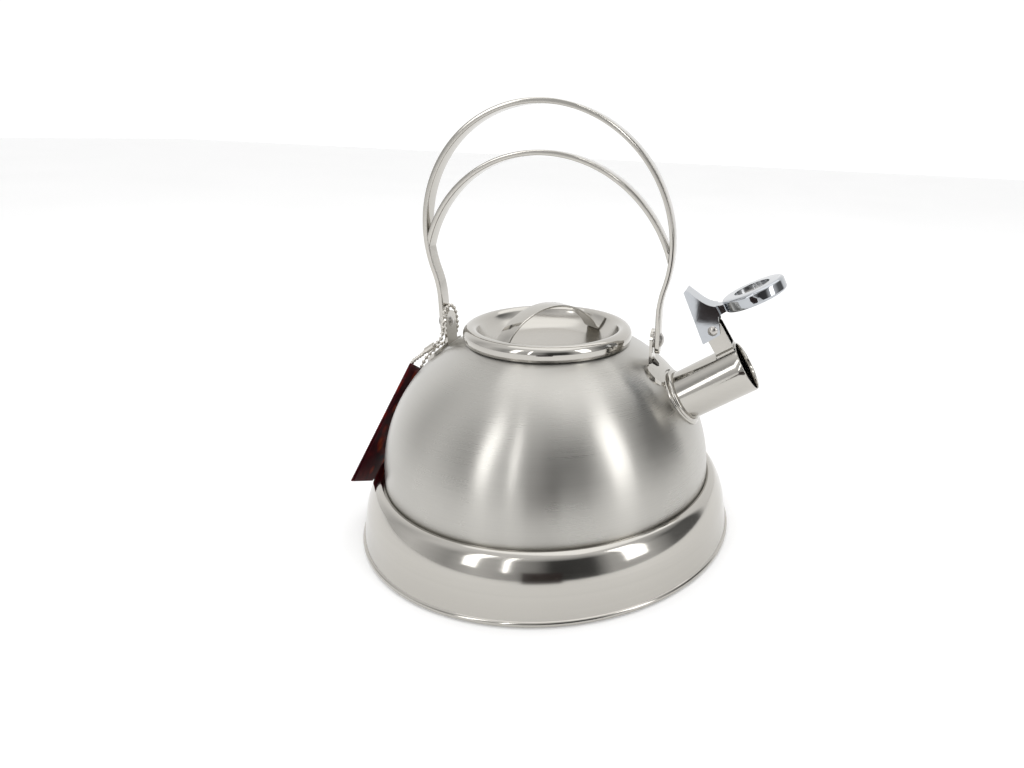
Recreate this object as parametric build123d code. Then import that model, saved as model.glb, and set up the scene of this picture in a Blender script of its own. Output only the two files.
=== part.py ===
from build123d import *
import os
from math import asin, cos, degrees, hypot, pi, radians, sin, tan

os.makedirs("parts", exist_ok=True)

# A stovetop whistling kettle: a spun steel dome on a wider flared skirt, a lift-off lid
# with a strap, a swinging double-arch bail handle, and a short spout whose whistle cap
# swings over the mouth.
# Frame: origin at the middle of the flat base, +Z up, +X towards the spout.

# ---------------- Driving dimensions (mm, degrees) ----------------
wall = 0.8                      # sheet of the body and the lid

# Body
skirt_out = 14.2                # skirt wall at the seam, beyond the dome's foot
skirt_top_z = 35.3              # crest of the shoulder
skirt_wall_top_z = 18.0         # where the straight cone turns into the shoulder
skirt_wall_in = 2.6             # the wall leans in by this much up to there
dome_r = 95.0                   # radius at the dome's foot
base_r = dome_r + skirt_out
dome_h = 87.7                   # height of the full curve over its foot
dome_foot_z = 35.0
dome_power = 2.1                # 2 would be an ellipse; a little more is fuller
tuck = 4.0                      # the dome's foot stands this far inside the skirt
bead_r = 1.7                    # rolled seam round the foot of the skirt
bead_lift = 0.5                 # the seam clears the stove
pan_z = 4.3                     # underside of the steel bottom
spreader_r = dome_r - 9.0
cap_wall = 0.8                  # steel cap that encloses the spreader

# Filler neck and lid
neck_bore_r = 40.0
neck_drop = 8.0
lid_centre_drop = 6.5           # top of the dish at its middle, below the neck's top
dish_slope = 9.9                # slope where the shallow dish meets its steeper bank
bank_slope = 60.0               # slope where the bank meets the rim
rim_out = 7.2                   # outside of the rim, beyond the neck's bore
rim_roll_r = 4.4                # the rim's rounding
rim_roll_over = 1.9             # centre of the rounding, above the neck's top
rim_end_drop = 1.6              # lower edge of the rim, below the neck's top
collar_clear = 0.6              # between the lid's collar and the neck's bore
collar_drop = 11.3              # foot of the collar, below the neck's top

# Lid strap
strap_turn = 57.0               # direction of the strap about the axis, from +X
strap_in = 7.0                  # its feet stand this far inside the neck's bore
strap_over = 17.6               # its top, above the neck's top
strap_foot_drop = 3.8
strap_shoulder_x = 20.2         # where its top turns down into a leg
strap_shoulder_over = 12.1
strap_wide = 10.5
strap_thick = 1.2
foot_in = 1.5                   # the welded feet end this far inside the bore

# Handle
bar_wide = 8.4
bar_thick = 2.7
bail_r = 70.3                   # outside of the outer arch
bail_over = 50.0                # its centre, above the pivots
bail_foot_x = 64.55             # outside of the straight ends
bail_bend_r = 50.0              # reverse bend above the straight ends
bail_end_drop = 7.8             # its ends, below the pivots
inner_top_over = 95.8           # top of the inner arch, above the pivots
inner_r = 72.5                  # outside of the inner arch
inner_cut = 20.2                # its ends are cut square this far above its centre's level

# Handle brackets and pivots
pivot_over = 13.93             # the pivots, above the dome beside the ears
ear_wide = 12.0
ear_thick = 1.6
ear_gap = 0.85                  # between an ear and the bail's arm
ear_top = 6.2                   # ear above the pivot
plate_thick = 1.5
plate_long = 31.4
plate_wide = 9.8
shank_r = 2.0
running = 0.05                  # radial play of a turning joint
washer_r = 4.4
washer_play = 0.12              # side play at each face of a washer

# Spout
spout_tilt = 32.5               # above the horizontal
mouth_x = dome_r + 18.2
mouth_share = 0.8335            # height of the mouth, as a share of the dome's
spout_r = 14.2                  # outside
spout_wall = 0.8
spout_long = 45.5               # mouth to root
flange_r = 17.2
flange_thick = 1.1
flange_bead_r = 1.3
bead_a = -40.6                  # the flange's bead, along the spout from the mouth

# Whistle, in the spout's frame: along the axis from the mouth, and up from the axis
pin_a = -6.2
pin_p = 27.0
pin_r = 1.6
post_half = 5.2                 # half of the post's width along the spout
post_outer = 5.2                # half of its width across the spout
post_wall = 1.1
saddle_half = 7.0
saddle_thick = 1.0
cheek_gap = 0.35                # between the post and the lever's cheeks
cheek_wall = 1.15
cap_r = 17.2                    # the ring that closes the mouth
cap_thick = 7.0
cap_overlap = 0.5               # it comes this far back over the mouth when shut
cap_recess_r = 15.0
cap_recess = 1.0
cup_r = 9.8                     # the whistle's cup in the middle of the ring
cup_wall = 0.6
cup_set_in = 1.8                # its face lies this far below the ring's
hole_r = 1.7
swing = 85.0                    # from shut to open

# Hang tag and chain
chain_r = 1.2
clasp_r = 1.8
clasp_long = 7.5
tag_turn = 181.0                # direction of the tag's face about the axis
tag_lean = 20.0                 # from upright, resting on the dome and the shoulder
tag_gap = 2.6                   # room for the chain behind it
tag_hang = (-4.1, -45.1)         # its hole, sideways and down in its plane
tag_roll = 30.0                 # the front leaf, turned in its own plane
tag_back_roll = 28.5
tag_long = 70.0                 # from the hole to the foot
tag_back_long = 69.0
tag_head = 6.0                  # from the hole to the top
tag_wide = 33.3
tag_corner = 1.0
tag_hole_at = 1.2
tag_hole_r = 2.5
tag_leaf_gap = 0.3
card_thick = 0.4

# ---------------- Shapes of revolution ----------------


def dome_point(angle, grow=0.0):
    """The dome's outline at an angle above its foot, grown outwards."""
    return (
        (dome_r + grow) * cos(radians(angle)) ** (2 / dome_power),
        dome_foot_z + (dome_h + grow) * sin(radians(angle)) ** (2 / dome_power),
    )


def dome_height(r, grow=0.0):
    """Height of the dome's outline at a radius."""
    share = 1 - (r / (dome_r + grow)) ** dome_power
    return dome_foot_z + (dome_h + grow) * share ** (1 / dome_power)


def dome_curve(top_r, grow=0.0):
    """The dome's outline from its foot to a radius near the top."""
    rise = (dome_height(top_r, grow) - dome_foot_z) / (dome_h + grow)
    last = degrees(asin(rise ** (dome_power / 2)))
    steps = (0, 0.08, 0.22, 0.4, 0.6, 0.8, 1)
    return Spline(*[dome_point(last * s, grow) for s in steps], tangents=None)


def spun(face):
    """A face in the radius and height plane, turned about the axis."""
    return revolve(Plane.XZ * face, Axis.Z)


def dome_solid(grow, top_r=1.0):
    """The dome's full bulk, grown outwards, down to the floor."""
    curve = dome_curve(top_r, grow)
    start, end = curve @ 0, curve @ 1
    rest = Polyline((end.X, end.Y), (0, end.Y), (0, 0), (start.X, 0), (start.X, start.Y))
    return spun(make_face(curve + rest))


def ribbon(line, thick, side):
    """A strip of even thickness along one side of a line."""
    return make_face(Wire(line.edges()).offset_2d(thick, side=side, closed=True))


def washer_face(inner, outer):
    """A flat ring, or a disc where the inner radius is 0."""
    return Circle(outer) - Circle(inner) if inner else Circle(outer)


def ring(inner, outer, low, high):
    """A plain ring about the axis."""
    return Pos(0, 0, low) * extrude(washer_face(inner, outer), high - low)


neck_r = neck_bore_r + wall
neck_top_z = dome_height(neck_r)
lid_centre_z = neck_top_z - lid_centre_drop
rim_r = neck_bore_r + rim_out
rim_roll_z = neck_top_z + rim_roll_over
rim_end_z = neck_top_z - rim_end_drop
collar_foot_z = neck_top_z - collar_drop
strap_span = neck_bore_r - strap_in
strap_top_z = neck_top_z + strap_over
strap_foot_z = neck_top_z - strap_foot_drop
strap_shoulder = (strap_shoulder_x, neck_top_z + strap_shoulder_over)
foot_reach = neck_bore_r - foot_in
pivot_z = dome_height(bail_foot_x - bar_thick - ear_gap) + pivot_over
bail_z = pivot_z + bail_over
bail_end_z = pivot_z - bail_end_drop
inner_top_z = pivot_z + inner_top_over
mouth_z = dome_foot_z + mouth_share * dome_h

outer = dome_curve(neck_r)
inner = dome_curve(neck_r, -wall)
top, low_top = outer @ 1, inner @ 1
foot, low_foot = outer @ 0, inner @ 0
edge = Polyline((top.X, top.Y), (low_top.X, low_top.Y))
foot_edge = Polyline(
    (foot.X, foot.Y),
    (foot.X, dome_foot_z - tuck),
    (low_foot.X, dome_foot_z - tuck),
    (low_foot.X, low_foot.Y),
)
dome = spun(make_face(outer + inner + edge + foot_edge))

bead = Pos(0, 0, bead_lift + bead_r) * Torus(base_r - 0.6, bead_r)

wall_top_r = base_r - skirt_wall_in
shoulder_r = dome_r + 6.2       # where the shoulder starts to turn over
crest_r = dome_r + 2.6
skirt_wall = Line((base_r, bead_lift + 2 * bead_r - 1.0), (wall_top_r, skirt_wall_top_z))
shoulder = TangentArc(skirt_wall @ 1, (shoulder_r, skirt_top_z - 3.1), tangent=skirt_wall % 1)
turn_over = TangentArc(shoulder @ 1, (crest_r, skirt_top_z), tangent=shoulder % 1)
lip = TangentArc(turn_over @ 1, (dome_r - 0.5, skirt_top_z - 0.75), tangent=turn_over % 1)
skirt_line = skirt_wall + shoulder + turn_over + lip
skirt = spun(ribbon(skirt_line, wall, Side.LEFT))
skirt -= Pos(0, 0, dome_foot_z) * Cylinder(dome_r, 20)
skirt -= bead

pan_line = Polyline((0, pan_z), (spreader_r + 10, pan_z), (base_r - 1.2, bead_lift + bead_r))
pan = spun(ribbon(pan_line, wall, Side.LEFT)) - bead
spreader = ring(0, spreader_r, cap_wall, pan_z)
base_cap = ring(0, spreader_r + cap_wall, 0, pan_z) - spreader

neck = ring(neck_bore_r, neck_r, neck_top_z - neck_drop, neck_top_z)

# ---------------- Lid ----------------
roll_r = rim_r - rim_roll_r     # centre of the rim's rounding
bank_top = (
    roll_r - rim_roll_r * sin(radians(bank_slope)),
    rim_roll_z + rim_roll_r * cos(radians(bank_slope)),
)
crest = (roll_r, rim_roll_z + rim_roll_r)
# The bank's chord rises at the mean of its end slopes, and the dish is an arc about the axis.
mean_slope = radians((dish_slope + bank_slope) / 2)
sag = tan(radians(dish_slope / 2))
dish_edge_r = (lid_centre_z - bank_top[1] + bank_top[0] * tan(mean_slope)) / (
    tan(mean_slope) - sag
)
dish_edge = (dish_edge_r, lid_centre_z + dish_edge_r * sag)
dish = TangentArc((0, lid_centre_z), dish_edge, tangent=(1, 0))
bank = TangentArc(dish_edge, bank_top, tangent=dish % 1)
roll_in = TangentArc(bank_top, crest, tangent=bank % 1)
roll_out = TangentArc(crest, (rim_r, rim_roll_z), tangent=(1, 0))
rim_end = TangentArc((rim_r, rim_roll_z), (rim_r - 0.5, rim_end_z), tangent=(0, -1))
lid_line = dish + bank + roll_in + roll_out + rim_end
lid_face = ribbon(lid_line, wall, Side.RIGHT)
lid_shell = spun(lid_face)

collar_r = neck_bore_r - collar_clear
collar_in_r = collar_r - wall
collar_top_z = rim_roll_z + rim_roll_r
collar_line = Polyline(
    (collar_in_r, collar_foot_z), (collar_r, collar_foot_z),
    (collar_r, collar_top_z), (collar_in_r, collar_top_z), close=True,
)
# The lid's sheet cuts the collar's profile in two, and the part under the sheet is the collar.
collar_face = min((make_face(collar_line) - lid_face).faces(), key=lambda f: f.center().Y)
collar = spun(collar_face)

# Everything below the top of the lid's sheet, which the strap's feet lie on.
under_line = Polyline((0, lid_centre_z), (0, 90), (roll_r, 90), crest)
under_lid = spun(make_face(dish + bank + roll_in + under_line))


strap_top = TangentArc((0, strap_top_z), strap_shoulder, tangent=(1, 0))
strap_leg = TangentArc(strap_shoulder, (strap_span, strap_foot_z), tangent=strap_top % 1)
strap_half = ribbon(strap_top + strap_leg, strap_thick, Side.RIGHT)
arch_band = strap_half + mirror(strap_half, about=Plane.YZ)
strap = extrude(Plane.XZ * arch_band, strap_wide / 2, both=True)
# The welded feet: a skin over the lid's bank, as wide as the strap.
foot_skin = spun(make_face(Polyline(
    (strap_span - 3, 90), (foot_reach, 90), (foot_reach, 130), (strap_span - 3, 130), close=True
)))
skin = (Pos(0, 0, strap_thick) * under_lid) & foot_skin
skin &= Box(4 * strap_span, strap_wide, 400)
strap = (strap + skin) - under_lid
strap = Rot(0, 0, strap_turn) * strap

# ---------------- Handle ----------------
# The outer arch passes below its centre's level, then bends back to upright ends.
lean = degrees(asin(1)) - degrees(
    asin((bail_foot_x + bail_bend_r) / (bail_r + bail_bend_r))
)
arch_end = (bail_r * cos(radians(lean)), bail_z - bail_r * sin(radians(lean)))
bend_end = (bail_foot_x, bail_z - (bail_r + bail_bend_r) * sin(radians(lean)))
straight = Line((bail_foot_x, bail_end_z), bend_end)
bend = TangentArc(bend_end, arch_end, tangent=(0, 1))
arch = ThreePointArc(arch_end, (0, bail_z + bail_r), (-arch_end[0], arch_end[1]))
bend_back = TangentArc((-arch_end[0], arch_end[1]), (-bend_end[0], bend_end[1]), tangent=arch % 1)
straight_back = Line((-bend_end[0], bend_end[1]), (-bail_foot_x, bail_end_z))
bail_line = straight + bend + arch + bend_back + straight_back
bail = extrude(Plane.XZ * ribbon(bail_line, bar_thick, Side.LEFT), bar_wide / 2, both=True)
ends = bail.edges().filter_by(Axis.X).group_by(Axis.Z)[0]
bail = fillet(ends, bar_wide / 2 - 0.15)

inner_centre_z = inner_top_z - inner_r
cut_angle = degrees(asin(inner_cut / inner_r))
inner_arch_line = CenterArc((0, inner_centre_z), inner_r, cut_angle, 180 - 2 * cut_angle)
inner_arch = extrude(
    Plane.XZ * ribbon(inner_arch_line, bar_thick, Side.LEFT), bar_wide / 2, both=True
)
inside_bail = Pos(0, 0, bail_z) * Rot(90, 0, 0) * Cylinder(bail_r - bar_thick, 4 * bar_wide)
inner_arch &= inside_bail

# ---------------- Brackets and pivots ----------------
arm_in_x = bail_foot_x - bar_thick
ear_out_x = arm_in_x - ear_gap
ear_in_x = ear_out_x - ear_thick
body_bulk = dome_solid(0, neck_r)
plate_skin = dome_solid(plate_thick) - body_bulk
plate_x = ear_in_x + 0.4 + plate_wide / 2
plate_plan = Pos(plate_x, 0, 80) * extrude(
    Rot(0, 0, 90) * SlotOverall(plate_long, plate_wide), 60
)
ear_face = Pos(0, -20) * Rectangle(ear_wide, 40) + Circle(ear_wide / 2)
ear = Pos(ear_in_x, 0, pivot_z + ear_top - ear_wide / 2) * extrude(
    Plane.YZ * ear_face, ear_thick
)
ear -= body_bulk
rib_face = make_face(Polyline(
    (ear_out_x - 0.3, pivot_z - 30), (ear_out_x + 3.6, pivot_z - 30),
    (ear_out_x + 3.6, dome_height(ear_out_x) + 0.6),
    (ear_out_x - 0.3, dome_height(ear_out_x) + 5.0), close=True,
))
rib = extrude(Plane.XZ * rib_face, 0.9, both=True) - body_bulk
bracket = (plate_skin & plate_plan) + ear + rib
bracket -= Pos(ear_in_x, 0, pivot_z) * Rot(0, 90, 0) * Cylinder(shank_r, 20)


def dome_head(r, high):
    """A low round rivet head, flat side at the origin, crown along +Z."""
    ball = (r * r + high * high) / (2 * high)
    cap = Pos(0, 0, high - ball) * Sphere(ball)
    return cap & Pos(0, 0, high / 2) * Cylinder(r + 1, high)


arm_out_x = bail_foot_x
head_x = arm_out_x + running
shank = Pos((ear_in_x + head_x) / 2, 0, pivot_z) * Rot(0, 90, 0) * Cylinder(
    shank_r, head_x - ear_in_x
)
head = Pos(head_x, 0, pivot_z) * Rot(0, 90, 0) * dome_head(4.2, 1.9)
tail = Pos(ear_in_x, 0, pivot_z) * Rot(0, -90, 0) * dome_head(3.1, 1.1)
pivot = shank + head + tail
washer_thick = ear_gap - washer_play
washer = Pos(ear_out_x, 0, pivot_z) * Rot(0, 90, 0) * extrude(
    Circle(washer_r) - Circle(shank_r), washer_thick
)
arm_hole = Pos(0, 0, pivot_z) * Rot(0, 90, 0) * Cylinder(shank_r + running, 4 * bail_r)
bail -= arm_hole


def other_side(shape):
    """The same piece on the side away from the spout."""
    return Rot(0, 0, 180) * shape


# ---------------- Spout ----------------
# In the spout's own frame +X runs out of the mouth, +Z is up from its axis, and the
# origin is the middle of the mouth.
spout = Pos(mouth_x, 0, mouth_z) * Rot(0, -spout_tilt, 0)


def tube_round(inner, outer, start, end):
    """A ring about the spout's axis, from start to end along it, in the spout's frame."""
    return Pos(start, 0, 0) * Rot(0, 90, 0) * extrude(washer_face(inner, outer), end - start)


def side_plate(points, half_width):
    """A plate across the spout from (along, up) points, in the spout's frame."""
    face = make_face(Polyline(*points, close=True))
    return extrude(Plane.XZ * face, half_width, both=True)


def across(radius, half_width):
    """A cylinder across the spout at the whistle's pin, in the spout's frame."""
    return Pos(pin_a, 0, pin_p) * Rot(90, 0, 0) * Cylinder(radius, 2 * half_width)


tube = spout * tube_round(spout_r - spout_wall, spout_r, -spout_long, 0)
spout_core = spout * tube_round(0, spout_r, -80, 0)
dome -= spout_core
flange_skin = dome_solid(flange_thick) - body_bulk
flange = flange_skin & (spout * tube_round(0, flange_r, -60, -20))
flange_bead = Torus(spout_r + 0.8 * flange_bead_r, flange_bead_r)
flange += spout * (Pos(bead_a, 0, 0) * Rot(0, 90, 0) * flange_bead)
flange = flange - spout_core - body_bulk

# ---------------- Whistle ----------------
post_a0 = pin_a - post_half
post_a1 = pin_a + post_half
post_block = side_plate(
    [(post_a0, 4), (post_a1, 4), (post_a1, pin_p), (post_a0, pin_p)], post_outer
) + across(post_half, post_outer)
post_gap = Pos(pin_a, 0, spout_r + saddle_thick + 40) * Box(
    9 * post_half, 2 * (post_outer - post_wall), 80
)
saddle = tube_round(spout_r, spout_r + saddle_thick, post_a0, post_a1) & (
    Pos(pin_a, 0, spout_r) * Box(4 * post_half, 2 * saddle_half, 20)
)
post = (post_block - post_gap) + saddle
post -= tube_round(0, spout_r, -80, 20)
post -= across(pin_r + running, 30)

# The ring that closes the mouth, as it lies when shut.
ring_back = -cap_overlap
ring_front = ring_back + cap_thick
cap_ring = tube_round(cup_r, cap_r, ring_back, ring_front)
cap_ring = fillet(cap_ring.edges().filter_by(GeomType.CIRCLE).group_by(SortBy.RADIUS)[-1], 1.6)
cap_ring -= tube_round(0, cap_recess_r, ring_back, ring_back + cap_recess)
cup_face = ring_front - cup_set_in
cup_back = ring_back + cap_recess
cup = tube_round(cup_r - cup_wall, cup_r, cup_back, cup_face)
cup += tube_round(hole_r, cup_r, cup_face - cup_wall, cup_face)
disc = tube_round(hole_r, cup_r - cup_wall, cup_back, cup_back + cup_wall)

open_up = Pos(pin_a, 0, pin_p) * Rot(0, -swing, 0) * Pos(-pin_a, 0, -pin_p)
cap_ring, cup, disc = [open_up * piece for piece in (cap_ring, cup, disc)]

# The lever in its open place: its outline is (along, up) from the pin.
cheek_out = post_outer + cheek_gap + cheek_wall
cheek_in = post_outer + cheek_gap


def from_pin(points):
    """Points given from the pin, in the spout's frame."""
    return [(pin_a + a, pin_p + p) for a, p in points]


neck_start = (6.2, 5.4)
neck_low = (11.2, 5.6)
neck_high = (11.4, 9.6)
heel = (-8.2, -4.2)
toe = (2.6, -3.6)
horn = (-3.9, 25.2)
horn_out = (-2.2, 25.9)
back = Line(*from_pin([heel, horn]))
tip = Line(*from_pin([horn, horn_out]))
finger = Spline(*from_pin([horn_out, (1.2, 18.6), (5.0, 12.9), neck_high]))
rest = Polyline(*from_pin([neck_high, neck_low, neck_start, toe, heel]))
outline = make_face(back + tip + finger + rest)
lever = extrude(Plane.XZ * outline, cheek_out, both=True)
# The hollow for the post, open below and towards the mouth.
hollow = from_pin([
    (-6.95, -6.0), (-6.55, 4.2), (-5.0, 14.0), (0.2, 14.0), (6.6, 8.0), (7.4, 4.0), (4.0, -6.0)
])
lever -= side_plate(hollow, cheek_in)
waist = side_plate(from_pin([(7.6, -2), (20, -2), (20, 20), (7.6, 20)]), 20) - side_plate(
    from_pin([(7.6, -2), (20, -2), (20, 20), (7.6, 20)]), 4.2
)
lever -= waist
lever += cap_ring
lever -= open_up * tube_round(0, cup_r, ring_back - 1, ring_front + 1)
lever -= across(pin_r, 30)

pin_head = dome_head(2.7, 1.3)
pin = across(pin_r, cheek_out)
for turn in (90, -90):
    side = 1 if turn < 0 else -1
    pin += Pos(pin_a, side * cheek_out, pin_p) * Rot(turn, 0, 0) * pin_head

# The flat spring that holds the lever open or shut lies along its back wall.
leaf_near = [(-5.95, -3.6), (-5.3, 4.6), (-5.0, 9.0), (-5.36, 9.0), (-5.75, 4.6), (-6.35, -3.6)]
leaf = side_plate(from_pin(leaf_near), 4.0)

post, lever, pin, cup, disc, leaf = [
    spout * piece for piece in (post, lever, pin, cup, disc, leaf)
]

# ---------------- Hang tag and its ball chain ----------------
# The tag leans on the dome and the shoulder. Its plane is a cone's tangent plane, moved
# out by the chain that runs behind it.
lean = radians(tag_lean)
support = max(
    r * cos(lean) + z * sin(lean)
    for r, z in [dome_point(angle) for angle in range(5, 60)]
    + [(shoulder_r, skirt_top_z - 3.1), (wall_top_r, skirt_wall_top_z)]
)
out = Vector(cos(radians(tag_turn)), sin(radians(tag_turn)), 0)
up = Vector(0, 0, 1)
face_out = out * cos(lean) + up * sin(lean)
down = out * sin(lean) - up * cos(lean)
sideways = Vector(-out.Y, out.X, 0)
hang_at = face_out * (support + tag_gap) + sideways * tag_hang[0] + down * tag_hang[1]


def card(roll, long, height):
    """A leaf of the tag, turned about its hole, at a height over the tag's plane."""
    along = down * cos(radians(roll)) + sideways * sin(radians(roll))
    outline = Pos((long - tag_head) / 2, 0) * Rectangle(long + tag_head, tag_wide)
    outline = fillet(outline.vertices(), tag_corner) - Pos(tag_hole_at, 0) * Circle(tag_hole_r)
    place = Plane(origin=hang_at + face_out * height, x_dir=along, z_dir=face_out)
    return place * extrude(outline, card_thick)


tag_front = card(tag_roll, tag_long, 0)
tag_back = card(tag_back_roll, tag_back_long, -card_thick - tag_leaf_gap)

# Route of the chain: from the tag's hole up behind the tag and along the dome, up the
# far side of the rear ear, over it, down its near side, and back to the hole in front.
# Beside the hole its points are (out of the tag, down, sideways) from the hole, along the
# dome they are (along X, along Y, above the dome), and round the ear (along X, along Y,
# above the pivot).
route_start = [(-1.2, 1.6, -0.3), (-2.3, -2.2, -0.6), (-2.3, -12.3, -0.9)]
route_up = [(-75.6, 6.6, 6.95), (-70.2, 8.8, 5.71), (-65.2, 9.9, 4.76)]
route_ear = [
    (-61.1, 9.9, -8.8),
    (-60.2, 8.9, -1.4),
    (-60.2, 7.0, 6.2),
    (-60.2, 0.2, 10.0),
    (-60.2, -7.0, 6.4),
    (-60.2, -8.9, -1.6),
    (-61.0, -9.8, -8.7),
]
route_down = [(-66.4, -9.4, 6.04), (-71.8, -8.6, 7.32)]
route_end = [
    (-3.2, -18.6, 8.0), (1.4, -12.4, 5.2), (3.2, -6.2, 2.6), (3.1, -1.0, 1.0), (0.9, 0.9, 0.5)
]


def by_hole(place):
    """A place given from the tag's hole."""
    return hang_at + face_out * place[0] + down * place[1] + sideways * place[2]


def over_dome(place):
    """A place given above the dome's outside."""
    x, y, over = place
    return Vector(x, y, dome_height(hypot(x, y)) + over)


points = [by_hole(p) for p in route_start] + [over_dome(p) for p in route_up]
points += [Vector(x, y, pivot_z + z) for x, y, z in route_ear]
points += [over_dome(p) for p in route_down] + [by_hole(p) for p in route_end]
runs = [(b - a) for a, b in zip(points, points[1:])]
radii = []
for before, after in zip(runs, runs[1:]):
    half_turn = radians(before.get_angle(after)) / 2
    radii.append(0.45 * min(before.length, after.length) / tan(half_turn))
path = FilletPolyline(*points, radius=radii)
chain = sweep(Plane(origin=path @ 0, z_dir=path % 0) * Circle(chain_r), path)
print("chain points", [tuple(round(v, 1) for v in p) for p in points])
print("chain radii", [round(r, 1) for r in radii])
print("chain length", round(path.length, 2))
print("volume over section times length", chain.volume / (pi * chain_r**2 * path.length))

# The clasp closes the chain on the near side.
clasp_from, clasp_to = [over_dome(p) for p in route_down]
clasp_way = clasp_to - clasp_from
clasp_mid = (clasp_from + clasp_to) * 0.5
clasp_bar = Cylinder(clasp_r, clasp_long)
clasp = Plane(origin=clasp_mid, z_dir=clasp_way) * fillet(clasp_bar.edges(), 0.5) - chain

front_bracket = bracket - spout * tube_round(0, flange_r + 0.3, -70, 0)

parts = {
    "body_dome": dome,
    "base_skirt": skirt,
    "base_seam_bead": bead,
    "base_pan": pan,
    "heat_spreader": spreader,
    "base_cap": base_cap,
    "filler_neck": neck,
    "lid_shell": lid_shell,
    "lid_collar": collar,
    "lid_strap": strap,
    "handle_outer_arch": bail,
    "handle_inner_arch": inner_arch,
    "front_bracket": front_bracket,
    "rear_bracket": other_side(bracket),
    "front_pivot_rivet": pivot,
    "rear_pivot_rivet": other_side(pivot),
    "front_pivot_washer": washer,
    "rear_pivot_washer": other_side(washer),
    "spout_tube": tube,
    "spout_flange": flange,
    "whistle_post": post,
    "whistle_lever": lever,
    "whistle_pin": pin,
    "whistle_cup": cup,
    "whistle_disc": disc,
    "whistle_leaf_spring": leaf,
    "tag_chain": chain,
    "chain_clasp": clasp,
    "tag_front_leaf": tag_front,
    "tag_back_leaf": tag_back,
}
for name, shape in parts.items():
    export_step(shape, f"parts/{name}.step")
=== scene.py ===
# %% [markdown]
# # A stovetop whistling kettle
# The kettle is almost all sheet steel: a spun dome with a brushed finish, a polished
# skirt, a lid with a polished rim and a satin dish, a bent flat-bar handle, and a short
# spout with a hinged whistle.
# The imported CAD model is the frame. Each large visible surface is made again as a smooth
# surface worked out with numpy, because the CAD meshes are loose triangles, and mirrors
# show every facet. Small machined parts are smoothed copies of their CAD meshes.

# %% Load the frame
import math

import bmesh
import bpy
import numpy as np
from mathutils import Matrix


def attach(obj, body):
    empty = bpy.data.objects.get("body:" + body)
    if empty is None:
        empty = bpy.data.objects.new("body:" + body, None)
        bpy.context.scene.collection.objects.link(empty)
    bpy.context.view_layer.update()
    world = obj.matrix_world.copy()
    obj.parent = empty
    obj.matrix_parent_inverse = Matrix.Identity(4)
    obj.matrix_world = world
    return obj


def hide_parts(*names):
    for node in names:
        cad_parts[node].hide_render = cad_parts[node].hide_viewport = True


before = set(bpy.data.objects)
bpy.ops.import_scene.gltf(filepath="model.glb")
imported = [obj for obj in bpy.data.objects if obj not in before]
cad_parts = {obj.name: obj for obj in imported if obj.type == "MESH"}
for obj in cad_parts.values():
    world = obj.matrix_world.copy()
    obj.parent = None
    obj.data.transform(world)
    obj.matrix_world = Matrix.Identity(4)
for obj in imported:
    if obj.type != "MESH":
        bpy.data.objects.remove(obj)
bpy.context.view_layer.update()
MM = 0.001

# %% [markdown]
# ## Camera
# A camera is a place, a direction and a lens. The direction is built from a heading, a
# downward tilt and a small roll, and turned into a rotation matrix by hand, so that each
# number is one that a person could set on a tripod.

# %% Camera
camera_at = np.array([121.85, -349.44, 222.76])
spout_turn = math.radians(19.2)         # the spout points this far towards the viewer
yaw, pitch, roll = (math.radians(v) for v in (9.38, 21.74, 2.47))
forward = np.array([
    math.sin(yaw) * math.cos(pitch), math.cos(yaw) * math.cos(pitch), -math.sin(pitch)
])
right = np.array([math.cos(yaw), -math.sin(yaw), 0.0])
up = np.cross(right, forward)
right, up = (
    math.cos(roll) * right + math.sin(roll) * up,
    math.cos(roll) * up - math.sin(roll) * right,
)
to_object = np.array([
    [math.cos(spout_turn), -math.sin(spout_turn), 0],
    [math.sin(spout_turn), math.cos(spout_turn), 0],
    [0, 0, 1],
])
axes = [to_object @ v for v in (right, up, -forward)]
camera_data = bpy.data.cameras.new("camera")
camera = bpy.data.objects.new("camera", camera_data)
bpy.context.scene.collection.objects.link(camera)
turn = Matrix([list(row) for row in np.array(axes).T]).to_4x4()
camera.matrix_world = Matrix.Translation((camera_at * MM).tolist()) @ turn
camera_data.sensor_width = 36.0
camera_data.lens = 23.38
camera_data.shift_x = -0.137
camera_data.shift_y = 0.0166
camera_data.clip_start = 0.01
bpy.context.scene.camera = camera
print("camera at", camera.location[:], "lens", camera_data.lens)

# %% [markdown]
# ## Helpers for meshes
# A surface is a grid of points. `sheet_faces` joins neighbours in the grid into quads, and
# closes it round either way where the surface meets itself.

# %% Mesh helpers


def sheet_faces(rows, cols, round_rows, round_cols):
    """Quads between grid neighbours: (i, j), (i, j+1), (i+1, j+1), (i+1, j)."""
    i = np.arange(rows if round_rows else rows - 1)
    j = np.arange(cols if round_cols else cols - 1)
    i, j = (a.ravel() for a in np.meshgrid(i, j, indexing="ij"))
    ni, nj = (i + 1) % rows, (j + 1) % cols
    return np.stack([i * cols + j, i * cols + nj, ni * cols + nj, ni * cols + j], axis=1)


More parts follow.
